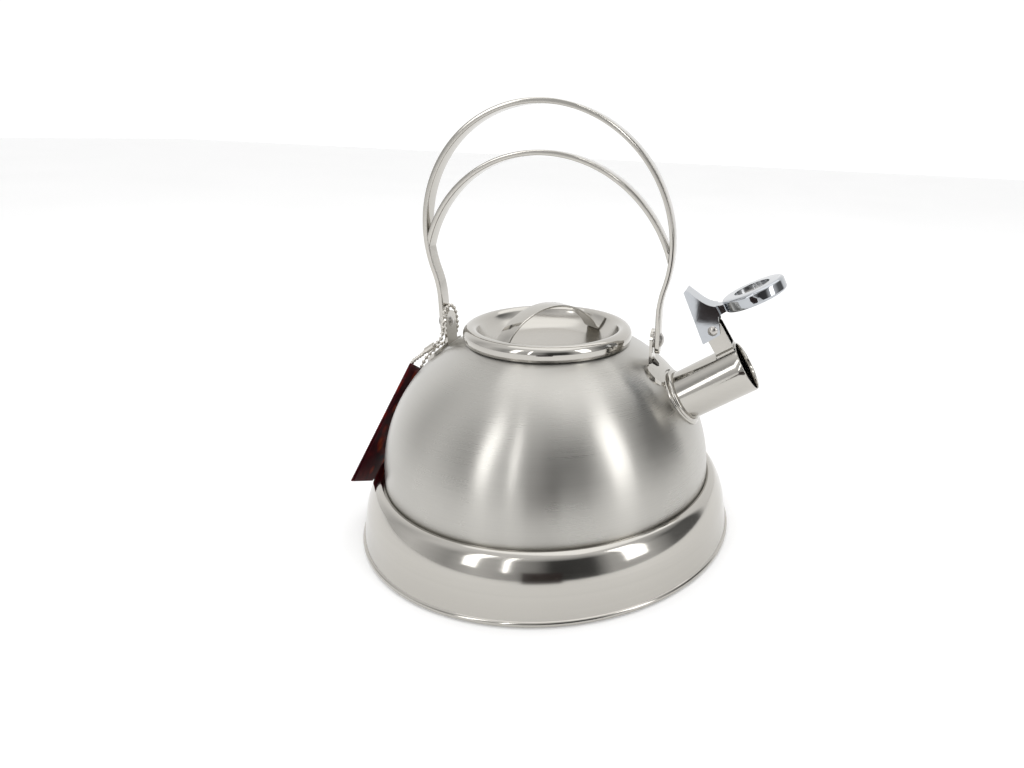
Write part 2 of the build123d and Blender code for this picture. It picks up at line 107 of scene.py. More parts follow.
def build(name, sheets, material, body, nodes=(), sharp=None, drop=None, caps=()):
    """One mesh from several grids. Each sheet is (points, closed by rows, closed by columns)."""
    points, faces, start = [], [], 0
    for grid, round_rows, round_cols in sheets:
        rows, cols = grid.shape[:2]
        points.append(grid.reshape(-1, 3))
        faces.append(sheet_faces(rows, cols, round_rows, round_cols) + start)
        start += rows * cols
    points, faces = np.concatenate(points), np.concatenate(faces)
    if drop is not None:
        points, keep = drop(points, faces)
        faces = faces[keep]
    mesh = bpy.data.meshes.new(name)
    mesh.from_pydata((points * MM).tolist(), [], faces.tolist() + [list(c) for c in caps])
    mesh.validate()
    clean = bmesh.new()
    clean.from_mesh(mesh)
    bmesh.ops.remove_doubles(clean, verts=clean.verts, dist=1e-6)
    loose = [v for v in clean.verts if not v.link_faces]
    bmesh.ops.delete(clean, geom=loose, context="VERTS")
    bmesh.ops.recalc_face_normals(clean, faces=clean.faces)
    clean.to_mesh(mesh)
    clean.free()
    mesh.shade_smooth()
    if sharp:
        mesh.set_sharp_from_angle(angle=math.radians(sharp))
    piece = bpy.data.objects.new(name, mesh)
    bpy.context.scene.collection.objects.link(piece)
    mesh.materials.append(material)
    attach(piece, body)
    if nodes:
        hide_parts(*nodes)
    print(name, len(mesh.vertices), "points")
    return piece


def turned(profile, steps=256):
    """A profile of (radius, height) carried round the Z axis: (r cos t, r sin t, z)."""
    profile = np.asarray(profile, float)
    t = np.linspace(0, 2 * np.pi, steps, endpoint=False)
    r, z = profile[:, :1], profile[:, 1:]
    return np.stack([r * np.cos(t), r * np.sin(t), z + 0 * t], axis=2)


def arc_from(start, end, direction, steps=12):
    """A circular arc that leaves start along a direction and meets end. It turns by twice
    the angle between the direction and the chord. Returns its points and last direction."""
    start, end = np.array(start, float), np.array(end, float)
    direction = np.array(direction, float) / np.hypot(*direction)
    chord = end - start
    long = np.hypot(*chord)
    half = math.atan2(direction[0] * chord[1] - direction[1] * chord[0], direction @ chord)
    share = np.linspace(0, 1, steps)
    reach = long * np.sin(share * half) / math.sin(half)
    heading = math.atan2(direction[1], direction[0]) + share * half
    points = start + np.stack([reach * np.cos(heading), reach * np.sin(heading)], axis=1)
    last = math.atan2(direction[1], direction[0]) + 2 * half
    return points, (math.cos(last), math.sin(last))


def chain_arcs(start, direction, ends, steps=12):
    """Arcs one after another, each leaving along the last one's direction."""
    whole = [np.array([start], float)]
    for end in ends:
        points, direction = arc_from(whole[-1][-1], end, direction, steps)
        whole.append(points[1:])
    return np.concatenate(whole)


def normals_of(path):
    """Left-hand normals of a plane path: its tangent turned by a quarter turn."""
    tangent = np.gradient(path, axis=0)
    tangent /= np.linalg.norm(tangent, axis=1, keepdims=True)
    return np.stack([-tangent[:, 1], tangent[:, 0]], axis=1)


def walled(path, thick):
    """The closed outline of a sheet that lies on the left of a path."""
    inner = path + normals_of(path) * thick
    return np.concatenate([path, inner[::-1]])


def bar_section(wide, thick, bevel, steps=5):
    """A rounded rectangle about the origin: four quarter circles of the bevel's radius."""
    t = np.linspace(0, np.pi / 2, steps)
    corners = []
    for k, (sx, sy) in enumerate([(1, 1), (-1, 1), (-1, -1), (1, -1)]):
        a = t + k * np.pi / 2
        corners.append(np.stack([
            sx * (wide / 2 - bevel) + bevel * np.cos(a),
            sy * (thick / 2 - bevel) + bevel * np.sin(a)
        ], axis=1))
    return np.concatenate(corners)


def bar(path, wide, thick, bevel, width_share=None):
    """A flat bar whose middle follows a path in the X, Z plane. Its width lies along Y."""
    normal = normals_of(path)
    section = bar_section(wide, thick, bevel)
    share = np.ones(len(path)) if width_share is None else width_share
    across = section[None, :, 0] * share[:, None]
    out = section[None, :, 1]
    x = path[:, :1] + normal[:, :1] * out
    z = path[:, 1:] + normal[:, 1:] * out
    return np.stack([x, across, z], axis=2)


def end_caps(rows, cols):
    """Faces that close the two ends of a tube made of rows of points."""
    return [list(range(cols)), list(range((rows - 1) * cols, rows * cols))]


# %% [markdown]
# ## Materials
# Bare metal is mostly its reflections, so a metal needs the right roughness, and small
# marks that break it: brushing lines, hairline scratches and faint smudges. Brushed steel
# also spreads its highlights across the brushing. That is what the anisotropic setting
# does, with a tangent that runs round the kettle's axis.

# %% Material helpers


def linear(code):
    """An sRGB hex colour as linear RGBA."""
    shades = [int(code[k:k + 2], 16) / 255 for k in (0, 2, 4)]
    return [v / 12.92 if v <= 0.04045 else ((v + 0.055) / 1.055) ** 2.4 for v in shades] + [1.0]


def node(tree, kind, links=None, **settings):
    """Add a node. Settings name its own values or, with a capital, its sockets' values."""
    new = tree.nodes.new(kind)
    for key, value in settings.items():
        if hasattr(new, key):
            setattr(new, key, value)
        else:
            new.inputs[key.replace("_", " ")].default_value = value
    for key, source in (links or {}).items():
        target = new.inputs[key] if isinstance(key, int) else new.inputs[key.replace("_", " ")]
        tree.links.new(source, target)
    return new


def new_material(name, **settings):
    """A material with its Principled shader and Object coordinates."""
    material = bpy.data.materials.new(name)
    material.use_nodes = True
    tree = material.node_tree
    tree.nodes.clear()
    shader = node(tree, "ShaderNodeBsdfPrincipled", **settings)
    out = node(tree, "ShaderNodeOutputMaterial", {"Surface": shader.outputs[0]})
    out.target = "ALL"
    where = node(tree, "ShaderNodeTexCoord").outputs["Object"]
    return material, tree, shader, where


def stretched(tree, where, scale):
    """Noise coordinates per metre along each axis."""
    return node(tree, "ShaderNodeMapping", {"Vector": where}, Scale=scale).outputs[0]


def ramp(tree, fac, stops):
    """A colour ramp from (position, hex or grey) stops."""
    new = node(tree, "ShaderNodeValToRGB", {"Fac": fac})
    edge = new.color_ramp.elements
    while len(edge) < len(stops):
        edge.new(0.5)
    for e, (at, shade) in zip(edge, stops):
        e.position = at
        e.color = linear(shade) if isinstance(shade, str) else [shade] * 3 + [1.0]
    return new.outputs[0]


def from_axis(tree, where):
    """Distance from the axis: the length of the point with its height taken out."""
    flat = node(tree, "ShaderNodeVectorMath", {0: where}, operation="MULTIPLY")
    flat.inputs[1].default_value = (1, 1, 0)
    r = node(tree, "ShaderNodeVectorMath", {0: flat.outputs[0]}, operation="LENGTH")
    return r.outputs["Value"]


def along_profile(tree, where):
    """Height minus radius, which rises all the way along a turned profile."""
    r = from_axis(tree, where)
    parts = node(tree, "ShaderNodeSeparateXYZ", {0: where})
    s = node(tree, "ShaderNodeMath", {0: parts.outputs[2], 1: r}, operation="SUBTRACT")
    place = {0: parts.outputs[0], 1: parts.outputs[1], 2: s.outputs[0]}
    return node(tree, "ShaderNodeCombineXYZ", place)


def steel(
    name, colour, rough, spread, brush=None, smudge=0.05, scratch=0.02, turning=0.0, dish=None
):
    """Stainless steel: base colour, roughness that varies by spread, and fine bump.
    brush is the brushing lines' spacing in mm, carried round the axis. dish is a radius in
    mm and the roughness added inside it, where a buffing wheel reaches less well."""
    material, tree, shader, where = new_material(
        name, Metallic=1.0, Roughness=rough, Base_Color=linear(colour), Anisotropic=turning
    )
    if turning:
        tangent = node(tree, "ShaderNodeTangent", direction_type="RADIAL", axis="Z")
        tree.links.new(tangent.outputs[0], shader.inputs["Tangent"])
        shader.inputs["Anisotropic Rotation"].default_value = 0.25
    cloud = node(tree, "ShaderNodeTexNoise", {"Vector": where}, Scale=26.0, Detail=4.0)
    if brush:
        lines_at = stretched(tree, along_profile(tree, where).outputs[0], (5, 5, 1000 / brush))
    else:
        lines_at = stretched(tree, where, (160, 160, 900))
    lines = node(tree, "ShaderNodeTexNoise", {"Vector": lines_at}, Scale=1.0, Detail=3.0)
    low, high = rough - spread, rough + spread
    level = node(tree, "ShaderNodeMapRange", {"Value": lines.outputs[0]}, To_Min=low, To_Max=high)
    level.inputs["From Min"].default_value = 0.3
    level.inputs["From Max"].default_value = 0.7
    haze = node(tree, "ShaderNodeMapRange", {"Value": cloud.outputs[0]}, To_Min=0.0, To_Max=smudge)
    haze.inputs["From Min"].default_value = 0.45
    haze.inputs["From Max"].default_value = 0.75
    total = node(tree, "ShaderNodeMath", {0: level.outputs[0], 1: haze.outputs[0]}, operation="ADD")
    if dish:
        dish_r, added = dish
        fade = 1.5
        r = from_axis(tree, where)
        satin_in = node(tree, "ShaderNodeMapRange", {"Value": r}, To_Min=added, To_Max=0.0)
        satin_in.inputs["From Min"].default_value = (dish_r - fade) * MM
        satin_in.inputs["From Max"].default_value = (dish_r + fade) * MM
        both = {0: total.outputs[0], 1: satin_in.outputs[0]}
        total = node(tree, "ShaderNodeMath", both, operation="ADD")
    tree.links.new(total.outputs[0], shader.inputs["Roughness"])
    warm = ramp(tree, lines.outputs[0], [(0.3, colour), (0.7, lighter(colour, 1.015))])
    tree.links.new(warm, shader.inputs["Base Color"])
    bump = node(tree, "ShaderNodeBump", {"Height": lines.outputs[0]}, Strength=scratch, Distance=0.0002)
    tree.links.new(bump.outputs[0], shader.inputs["Normal"])
    return material


def lighter(code, by):
    """A hex colour with each channel multiplied."""
    return "".join(f"{min(255, round(int(code[k:k + 2], 16) * by)):02x}" for k in (0, 2, 4))


# %% Steels
# The dome is brushed round its axis with about 0.35 mm between lines, drawn a little
# coarser here so that it shows. The rest is buffed until it mirrors.
brushed = steel("brushed_stainless", "b7b5b0", 0.28, 0.012, brush=0.5, scratch=0.012, turning=0.9)
lid_steel = steel(
    "buffed_lid", "b9b6b0", 0.07, 0.01, brush=0.9, smudge=0.05, scratch=0.006, dish=(38.5, 0.15)
)
chrome = steel("chromed_lever", "b4b7bb", 0.045, 0.008, smudge=0.03, scratch=0.004)
polished = steel("buffed_stainless", "b9b6b0", 0.08, 0.015, smudge=0.05, scratch=0.01)
skirt_steel = steel("buffed_skirt", "b7b4ae", 0.1, 0.012, brush=0.8, smudge=0.05, scratch=0.004)
satin = steel("satin_stainless", "bdbab6", 0.26, 0.05, smudge=0.08, scratch=0.05)
ground = steel("turned_base_steel", "b4b2ae", 0.32, 0.06, brush=0.4, scratch=0.12, turning=0.5)
plain_aluminium = steel("plain_aluminium", "c8c9ca", 0.36, 0.05, scratch=0.08)
beads_steel = steel("bead_chain_steel", "cbc7c0", 0.14, 0.03, smudge=0.08, scratch=0.02)

# %% [markdown]
# The tag is printed card with a satin finish: a deep maroon with a soft generic pattern of
# warm spots.

# %% Tag card
card, tree, shader, where = new_material(
    "satin_maroon_card", Roughness=0.5, Specular_IOR_Level=0.08
)
spots = node(tree, "ShaderNodeTexVoronoi", {"Vector": where}, Scale=95.0, feature="SMOOTH_F1")
print_noise = node(tree, "ShaderNodeTexNoise", {"Vector": where}, Scale=160.0, Detail=3.0)
base_print = ramp(tree, print_noise.outputs[0], [(0.3, "3a0c16"), (0.55, "521019"), (0.75, "6a1418")])
spot_print = ramp(tree, spots.outputs[0], [(0.1, "c8581e"), (0.24, "96260f"), (0.4, "000000")])
mixed = node(tree, "ShaderNodeMix", data_type="RGBA", blend_type="LIGHTEN")
mixed.inputs[0].default_value = 0.75
tree.links.new(base_print, mixed.inputs[6])
tree.links.new(spot_print, mixed.inputs[7])
tree.links.new(mixed.outputs[2], shader.inputs["Base Color"])
paper = node(tree, "ShaderNodeBump", {"Height": print_noise.outputs[0]}, Strength=0.06, Distance=0.0003)
tree.links.new(paper.outputs[0], shader.inputs["Normal"])

# %% [markdown]
# ## Body
# A spun shell is a profile turned about an axis. The dome's profile is a superellipse: an
# ellipse with a power a little over two, which is fuller at the shoulder. The hole for the
# spout is cut by leaving out the faces inside the tube's bore.

# %% Dome
wall = 0.8
dome_r, dome_h, dome_foot_z, dome_power, tuck = 95.0, 87.7, 35.0, 2.1, 4.0
neck_bore_r, neck_drop = 40.0, 8.0
neck_r = neck_bore_r + wall
mouth = np.array([113.2, 0.0, 108.1])
spout_tilt = math.radians(32.5)
spout_out = np.array([math.cos(spout_tilt), 0.0, math.sin(spout_tilt)])
spout_up = np.array([-math.sin(spout_tilt), 0.0, math.cos(spout_tilt)])
spout_r, spout_wall, spout_long = 14.2, 0.8, 45.5
cut_r, drawn_from_r = 14.0, 12.6        # the dome's hole, and what is drawn out to its edge


def dome_z(r, grow=0.0):
    """Height of the dome's outline at a radius."""
    share = 1 - (r / (dome_r + grow)) ** dome_power
    return dome_foot_z + (dome_h + grow) * np.maximum(share, 0) ** (1 / dome_power)


def dome_line(grow, top_r, steps=120):
    """The outline by angle: r = a cos^(2/p), z = foot + b sin^(2/p)."""
    top = math.asin((1 - (top_r / (dome_r + grow)) ** dome_power) ** 0.5)
    t = np.linspace(0, top, steps)
    return np.stack([
        (dome_r + grow) * np.cos(t) ** (2 / dome_power),
        dome_foot_z + (dome_h + grow) * np.sin(t) ** (2 / dome_power),
    ], axis=1)


def spout_hole(points, faces):
    """Leave out faces inside the spout's bore and draw the cut's edge onto one circle."""
    away = points - mouth
    flat = away - np.outer(away @ spout_out, spout_out)
    d = np.linalg.norm(flat, axis=1)
    near = points[:, 0] > 40
    edge = near & (d > drawn_from_r) & (d < cut_r)
    points = points.copy()
    points[edge] += flat[edge] / d[edge, None] * (cut_r - d[edge])[:, None]
    d = np.where(edge, cut_r, d)
    inside = near & (d < cut_r - 0.05)
    return points, ~np.any(inside[faces], axis=1)


outside = dome_line(0, neck_r)
inside = dome_line(-wall, neck_r)
foot = np.array([[dome_r, dome_foot_z - tuck]])
foot_in = np.array([[dome_r - wall, dome_foot_z - tuck]])
dome_profile = np.concatenate([foot, outside, inside[::-1], foot_in])
build("dome", [(turned(dome_profile, 384), True, True)], brushed, "kettle", ["body_dome"],
      sharp=40, drop=spout_hole)

# %% [markdown]
# The skirt is one more turned sheet: a straight cone, a shoulder that rolls over, and a lip
# that tucks in to the dome. Each arc leaves along the direction the last one ended in, so
# the sheet has no crease. The seam at its foot is a rolled wire of steel.

# %% Skirt and seam
base_r, bead_r, bead_lift, lip_z = 109.2, 1.7, 0.5, 35.3
wall_top = (base_r - 2.6, 18.0)
skirt_low = (base_r, bead_lift + 2 * bead_r - 1.0)
skirt_line = chain_arcs(
    wall_top, np.subtract(wall_top, skirt_low),
    [(dome_r + 6.2, lip_z - 3.1), (dome_r + 2.6, lip_z), (dome_r + 0.15, lip_z - 0.75)], 14
)
cone = np.linspace(skirt_low, wall_top, 12)[:-1]
skirt_line = np.concatenate([cone, skirt_line])
build("skirt", [(turned(walled(skirt_line, wall), 384), True, True)], skirt_steel, "kettle",
      ["base_skirt"], sharp=50)
t = np.linspace(0, 2 * np.pi, 25)[:-1]
seam = np.stack([base_r - 0.6 + bead_r * np.cos(t), bead_lift + bead_r + bead_r * np.sin(t)], axis=1)
build("seam", [(turned(seam, 384), True, True)], skirt_steel, "kettle", ["base_seam_bead"])
neck_top = float(dome_z(neck_r))
neck_ring = [(neck_bore_r, neck_top - neck_drop), (neck_r, neck_top - neck_drop),
             (neck_r, neck_top - 0.1), (neck_r - 0.3, neck_top + 0.2), (neck_bore_r, neck_top)]
build("neck", [(turned(neck_ring), True, True)], satin, "kettle", ["filler_neck"],
      sharp=40)

# %% [markdown]
# ## Lid
# The lid is pressed from one disc: a shallow dish, a steep bank and a rolled rim. The
# strap is a bent band that springs from two spot-welded feet on the bank.

# %% Lid
rim_r, rim_roll_r = neck_bore_r + 7.2, 4.4
rim_roll_z, rim_end_z = neck_top + 1.9, neck_top - 1.6
lid_centre_z, dish_slope, bank_slope = neck_top - 6.5, math.radians(9.9), math.radians(60)
roll_r = rim_r - rim_roll_r
bank_top = (
    roll_r - rim_roll_r * math.sin(bank_slope), rim_roll_z + rim_roll_r * math.cos(bank_slope)
)
mean_slope = (dish_slope + bank_slope) / 2
sag = math.tan(dish_slope / 2)
mean_rise = math.tan(mean_slope)
dish_r = (lid_centre_z - bank_top[1] + bank_top[0] * mean_rise) / (mean_rise - sag)
dish_edge = (dish_r, lid_centre_z + dish_r * sag)
crest = (roll_r, rim_roll_z + rim_roll_r)
upper = chain_arcs((0.0, lid_centre_z), (1, 0), [dish_edge, bank_top, crest, (rim_r, rim_roll_z)], 24)
rim_end, _ = arc_from((rim_r, rim_roll_z), (rim_r - 0.5, rim_end_z), (0, -1), 6)
lid_line = np.concatenate([upper, rim_end[1:]])
lid_line[0, 0] = 0.001
under = lid_line - normals_of(lid_line) * wall
under[0, 0] = 0.001
build("lid", [(turned(np.concatenate([lid_line, under[::-1]])), True, True)], lid_steel, "lid",
      ["lid_shell"], sharp=50)


def lid_top(r):
    """Height of the lid's upper face at a radius, up to its crest."""
    return np.interp(r, upper[:70, 0], upper[:70, 1])


# %% Strap
strap_top_z, strap_foot_z, strap_span, foot_reach = 132.9, 111.5, 33.0, 38.5
strap_wide, strap_thick, strap_turn = 10.5, 1.2, math.radians(57)
strap_shoulder = (20.2, 127.4)
strap_half = chain_arcs((0, strap_top_z), (1, 0), [strap_shoulder, (strap_span, strap_foot_z)], 28)
# The leg's last part turns out and lies on the bank.
lift = strap_half[:, 1] - lid_top(strap_half[:, 0])
leg = strap_half[lift > 3.2]
reach = np.linspace(leg[-1, 0] + 1.9, foot_reach, 16)
foot_line = np.stack([reach, lid_top(reach) + strap_thick / 2 + 0.25], axis=1)
bend = np.stack([
    np.linspace(leg[-1, 0], foot_line[0, 0], 7)[1:-1],
    np.linspace(leg[-1, 1], foot_line[0, 1], 7)[1:-1],
], axis=1)
half_line = np.concatenate([leg, bend, foot_line])
for _ in range(3):
    half_line[1:-1] = 0.25 * half_line[:-2] + 0.5 * half_line[1:-1] + 0.25 * half_line[2:]
whole = np.concatenate([half_line[:0:-1] * [-1, 1], half_line])
whole[:, 1] -= np.where(np.abs(whole[:, 0]) < leg[-1, 0], strap_thick / 2, 0) * np.clip(
    (leg[-1, 0] - np.abs(whole[:, 0])) / 6, 0, 1)
strap_grid = bar(whole, strap_wide, strap_thick, 0.45)
radius = np.hypot(strap_grid[..., 0], strap_grid[..., 1])
extra = np.clip((np.abs(strap_grid[..., 0]) - leg[-1, 0] - 1) / 3, 0, 1)
strap_grid[..., 2] += extra * (lid_top(radius) - lid_top(np.abs(strap_grid[..., 0])))
turn_z = np.array([[math.cos(strap_turn), math.sin(strap_turn), 0],
                   [-math.sin(strap_turn), math.cos(strap_turn), 0], [0, 0, 1]])
strap_grid = strap_grid @ turn_z
build("strap", [(strap_grid, False, True)], polished, "lid", ["lid_strap"],
      sharp=60, caps=end_caps(*strap_grid.shape[:2]))

# %% [markdown]
# ## Handle
# Both arches are flat bar bent the easy way. The outer one runs past a half circle, bends
# back to upright arms, and ends in round eyes on the rivets. The inner one is a plain
# arc whose ends are ground to meet the outer one's inner face.

# %% Handle
bar_wide, bar_thick = 8.4, 2.7
bail_r, bail_z, bail_foot_x, bail_bend_r, bail_end_z = 70.3, 168.0, 64.55, 50.0, 110.2
low_angle = math.acos((bail_foot_x + bail_bend_r) / (bail_r + bail_bend_r))
arch_end = (bail_r * math.cos(low_angle), bail_z - bail_r * math.sin(low_angle))
bend_end = (bail_foot_x, bail_z - (bail_r + bail_bend_r) * math.sin(low_angle))
t = np.linspace(0, 1, 24)
eye_r = bar_wide / 2 - 0.15
eye_z = bail_end_z + eye_r * (1 - np.cos(t * np.pi / 2))
straight = np.stack([0 * t + bail_foot_x, eye_z], axis=1)
eye_share = np.sqrt(np.clip(1 - ((eye_r - (eye_z - bail_end_z)) / eye_r) ** 2, 0.002, 1))
up_line = np.linspace(straight[-1], bend_end, 8)[1:]
bend, _ = arc_from(bend_end, arch_end, (0, 1), 16)
sweep = np.linspace(-low_angle, np.pi / 2, 90)[1:]
arch = np.stack([bail_r * np.cos(sweep), bail_z + bail_r * np.sin(sweep)], axis=1)
half = np.concatenate([straight, up_line, bend[1:], arch])
outer_line = np.concatenate([half, (half * [-1, 1])[::-1][1:]])
share = np.ones(len(half))
share[:24] = eye_share
share = np.concatenate([share, share[::-1][1:]])
centre_line = outer_line + normals_of(outer_line) * bar_thick / 2
outer_grid = bar(centre_line, bar_wide, bar_thick, 0.55, share)
build("outer_arch", [(outer_grid, False, True)], polished, "handle", ["handle_outer_arch"],
      sharp=60, caps=end_caps(*outer_grid.shape[:2]))
inner_r, inner_top_z, inner_cut = 72.5, 213.8, 20.2
low = math.asin(inner_cut / inner_r)
sweep = np.linspace(low, np.pi - low, 150)
inner_line = np.stack([
    (inner_r - bar_thick / 2) * np.cos(sweep),
    inner_top_z - inner_r + (inner_r - bar_thick / 2) * np.sin(sweep),
], axis=1)
inner_grid = bar(inner_line, bar_wide, bar_thick, 0.55)
off = np.hypot(inner_grid[..., 0], inner_grid[..., 2] - bail_z)
pull = np.minimum(1, (bail_r - bar_thick - 0.02) / off)
inner_grid[..., 0] *= pull
inner_grid[..., 2] = bail_z + (inner_grid[..., 2] - bail_z) * pull
build("inner_arch", [(inner_grid, False, True)], polished, "handle", ["handle_inner_arch"],
      sharp=60, caps=end_caps(*inner_grid.shape[:2]))

# %% [markdown]
# ## Spout
# The tube is a profile turned about the spout's own axis. The flange is a skin that lies on
# the dome: for each point round the tube, a search along the spout's direction finds
# where the dome's outline equation reaches one.

# %% Spout


def about_spout(profile, steps=160):
    """A profile of (along, radius) carried round the spout's axis."""
    profile = np.asarray(profile, float)
    t = np.linspace(0, 2 * np.pi, steps, endpoint=False)
    side = np.cos(t)[None, :, None] * np.array([0, 1.0, 0]) + np.sin(t)[None, :, None] * spout_up
    return mouth + profile[:, 0][:, None, None] * spout_out + profile[:, 1][:, None, None] * side


lip = [(-spout_long, spout_r - spout_wall), (-spout_long, spout_r)]
lip += [(a, spout_r) for a in np.linspace(-40, -0.5, 14)]
lip += [(-0.12, spout_r - 0.12), (0, spout_r - 0.4), (-0.12, spout_r - 0.68)]
lip += [(a, spout_r - spout_wall) for a in np.linspace(-0.5, -40, 14)]
build("spout", [(about_spout(lip), True, True)], polished, "kettle", ["spout_tube"],
      sharp=50)


def on_dome(radius, grow, steps=160):
    """Points round the spout at a radius, moved along it until they lie on the grown dome."""
    t = np.linspace(0, 2 * np.pi, steps, endpoint=False)
    base = mouth + radius * (np.cos(t)[:, None] * np.array([0, 1.0, 0]) + np.sin(t)[:, None] * spout_up)
    near, far = np.full(steps, -75.0), np.full(steps, -15.0)
    for _ in range(40):
        middle = (near + far) / 2
        p = base + middle[:, None] * spout_out
        r = np.hypot(p[:, 0], p[:, 1]) / (dome_r + grow)
        z = np.maximum(p[:, 2] - dome_foot_z, 0) / (dome_h + grow)
        out = r ** dome_power + z ** dome_power > 1
        far, near = np.where(out, middle, far), np.where(out, near, middle)
    return base + near[:, None] * spout_out


flange_r, flange_thick, flange_bead_r, bead_a = 17.2, 1.1, 1.3, -40.6
flange_grid = np.stack([
    on_dome(spout_r, 0.02), on_dome(spout_r, flange_thick),
    *[on_dome(r, flange_thick) for r in np.linspace(spout_r + 0.4, flange_r - 0.4, 5)],
    on_dome(flange_r - 0.1, flange_thick - 0.15), on_dome(flange_r, flange_thick - 0.5),
    on_dome(flange_r, 0.02),
])
t = np.linspace(0, 2 * np.pi, 21)[:-1]
ring_r = spout_r + 0.8 * flange_bead_r
ring = [(bead_a + flange_bead_r * math.cos(v), ring_r + flange_bead_r * math.sin(v)) for v in t]
build("flange", [(flange_grid, True, True), (about_spout(ring), True, True)], polished, "kettle",
      ["spout_flange"], sharp=50)

# %% [markdown]
# ## Small machined parts
# Brackets, rivets, and the whistle's post, lever and cup have flat faces and sharp
# corners, and CAD gives those well. Each is a copy of its CAD mesh with its points
# merged, flat faces joined, and a small bevel on its corners for the highlight along them.

# %% Small parts


def polished_copy(name, source, material, body, bevel):
    """A merged copy of a CAD node with bevelled corners."""
    mesh = bpy.data.objects[source].data.copy()
    mesh.name = name
    work = bmesh.new()
    work.from_mesh(mesh)
    bmesh.ops.remove_doubles(work, verts=work.verts, dist=2e-6)
    bmesh.ops.dissolve_limit(
        work, angle_limit=math.radians(1.5), verts=work.verts, edges=work.edges, delimit={"NORMAL"}
    )
    work.to_mesh(mesh)
    work.free()
    mesh.shade_smooth()
    mesh.set_sharp_from_angle(angle=math.radians(32))
    piece = bpy.data.objects.new(name, mesh)
    bpy.context.scene.collection.objects.link(piece)
    mesh.materials.clear()
    mesh.materials.append(material)
    if bevel:
        edge = piece.modifiers.new("corners", "BEVEL")
        edge.width = bevel * MM
        edge.segments = 2
        edge.limit_method = "ANGLE"
        edge.angle_limit = math.radians(32)
        edge.harden_normals = True
    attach(piece, body)
    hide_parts(source)
    print(name, len(mesh.vertices), "points")
    return piece


for end in ("front", "rear"):
    polished_copy(f"{end}_ear", f"{end}_bracket", polished, "kettle", 0.25)
    polished_copy(f"{end}_rivet", f"{end}_pivot_rivet", satin, "kettle", 0)
polished_copy("post", "whistle_post", polished, "kettle", 0.15)
polished_copy("lever", "whistle_lever", chrome, "whistle", 0.3)
polished_copy("lever_pin", "whistle_pin", satin, "whistle", 0)
polished_copy("cup", "whistle_cup", satin, "whistle", 0.08)
carried = {
    "base_pan": ground, "base_cap": ground, "heat_spreader": plain_aluminium, "lid_collar": satin,
    "front_pivot_washer": satin, "rear_pivot_washer": satin, "whistle_disc": satin,
    "whistle_leaf_spring": satin,
}
for name, finish in carried.items():
    mesh = bpy.data.objects[name].data
    mesh.materials.clear()
    mesh.materials.append(finish)
print("carried over", len(carried))

# %% [markdown]
# ## Ball chain and tag
# A ball chain is hollow beads on short links, and it hangs as a limp cord does. Its route
# is a smooth spline through a few listed points. The beads sit at even steps along
# that spline, so the spline is also read as a plain line of points.

# %% Chain
chain_route = [
    (-87.0, 2.9, 77.9),
    (-84.6, 3.2, 81.1),
    (-81.2, 3.6, 90.6),
    (-75.6, 6.6, 97.0),
    (-70.2, 8.8, 101.4),
    (-65.2, 9.9, 104.9),
    (-61.1, 9.9, 109.2),
    (-60.2, 8.9, 116.6),
    (-60.2, 7.0, 124.2),
    (-60.2, 0.2, 128.0),
    (-60.2, -7.0, 124.4),
    (-60.2, -8.9, 116.4),
    (-61.0, -9.8, 109.3),
    (-66.4, -9.4, 105.2),
    (-71.8, -8.6, 101.4),
    (-78.0, -5.3, 96.2),
    (-84.5, -2.6, 92.0),
    (-88.4, -0.0, 86.8),
    (-90.1, 1.5, 81.8),
    (-88.7, 2.1, 79.3),
]
chain_r = 1.2


def spline_line(route):
    """The points of the smooth curve whose control points are the route's."""
    data = bpy.data.curves.new("route", "CURVE")
    data.dimensions = "3D"
    data.resolution_u = 24
    spline = data.splines.new("NURBS")
    spline.points.add(len(route) - 1)
    for point, at in zip(spline.points, route):
        point.co = [v * MM for v in at] + [1.0]
    spline.order_u = 3
    spline.use_endpoint_u = True
    holder = bpy.data.objects.new("route", data)
    bpy.context.scene.collection.objects.link(holder)
    line = bpy.data.meshes.new_from_object(holder)
    points = np.empty(len(line.vertices) * 3)
    line.vertices.foreach_get("co", points)
    bpy.data.objects.remove(holder)
    bpy.data.curves.remove(data)
    bpy.data.meshes.remove(line)
    return points.reshape(-1, 3) / MM


line = spline_line(chain_route)
steps = np.concatenate([[0], np.cumsum(np.linalg.norm(np.diff(line, axis=0), axis=1))])
chain_long = steps[-1]
print("chain length", round(chain_long, 1), "mm")


def at_length(s):
    """Points of the chain's line at lengths along it."""
    return np.stack([np.interp(s, steps, line[:, k]) for k in range(3)], axis=1)


# %% Beads
# Beads of 2.4 mm stand about 3.3 mm apart, joined by a thin wire. Each bead is one bulge of
# the tube's radius: a half circle between links.
bead_step = chain_long / round(chain_long / 3.2)
link_r = 0.42


def bead_tube(from_s, to_s, around=14, per_bead=12):
    """A tube round the line with r(s) = sqrt(R^2 - d^2) near each bead and a thin link between."""
    count = max(2, int(round((to_s - from_s) / bead_step)))
    s = np.linspace(from_s, to_s, count * per_bead + 1)
    d = (s - from_s + bead_step / 2) % bead_step - bead_step / 2
    r = np.sqrt(np.maximum(chain_r**2 - d**2, link_r**2))
    centre = at_length(s)
    tangent = np.gradient(at_length(s), axis=0)
    tangent /= np.linalg.norm(tangent, axis=1, keepdims=True)
    side = np.cross(tangent, np.array([0.3, 0.2, 0.93]))
    side /= np.linalg.norm(side, axis=1, keepdims=True)
    over = np.cross(tangent, side)
    t = np.linspace(0, 2 * np.pi, around, endpoint=False)
    ring = np.cos(t)[None, :, None] * side[:, None] + np.sin(t)[None, :, None] * over[:, None]
    return centre[:, None] + r[:, None, None] * ring


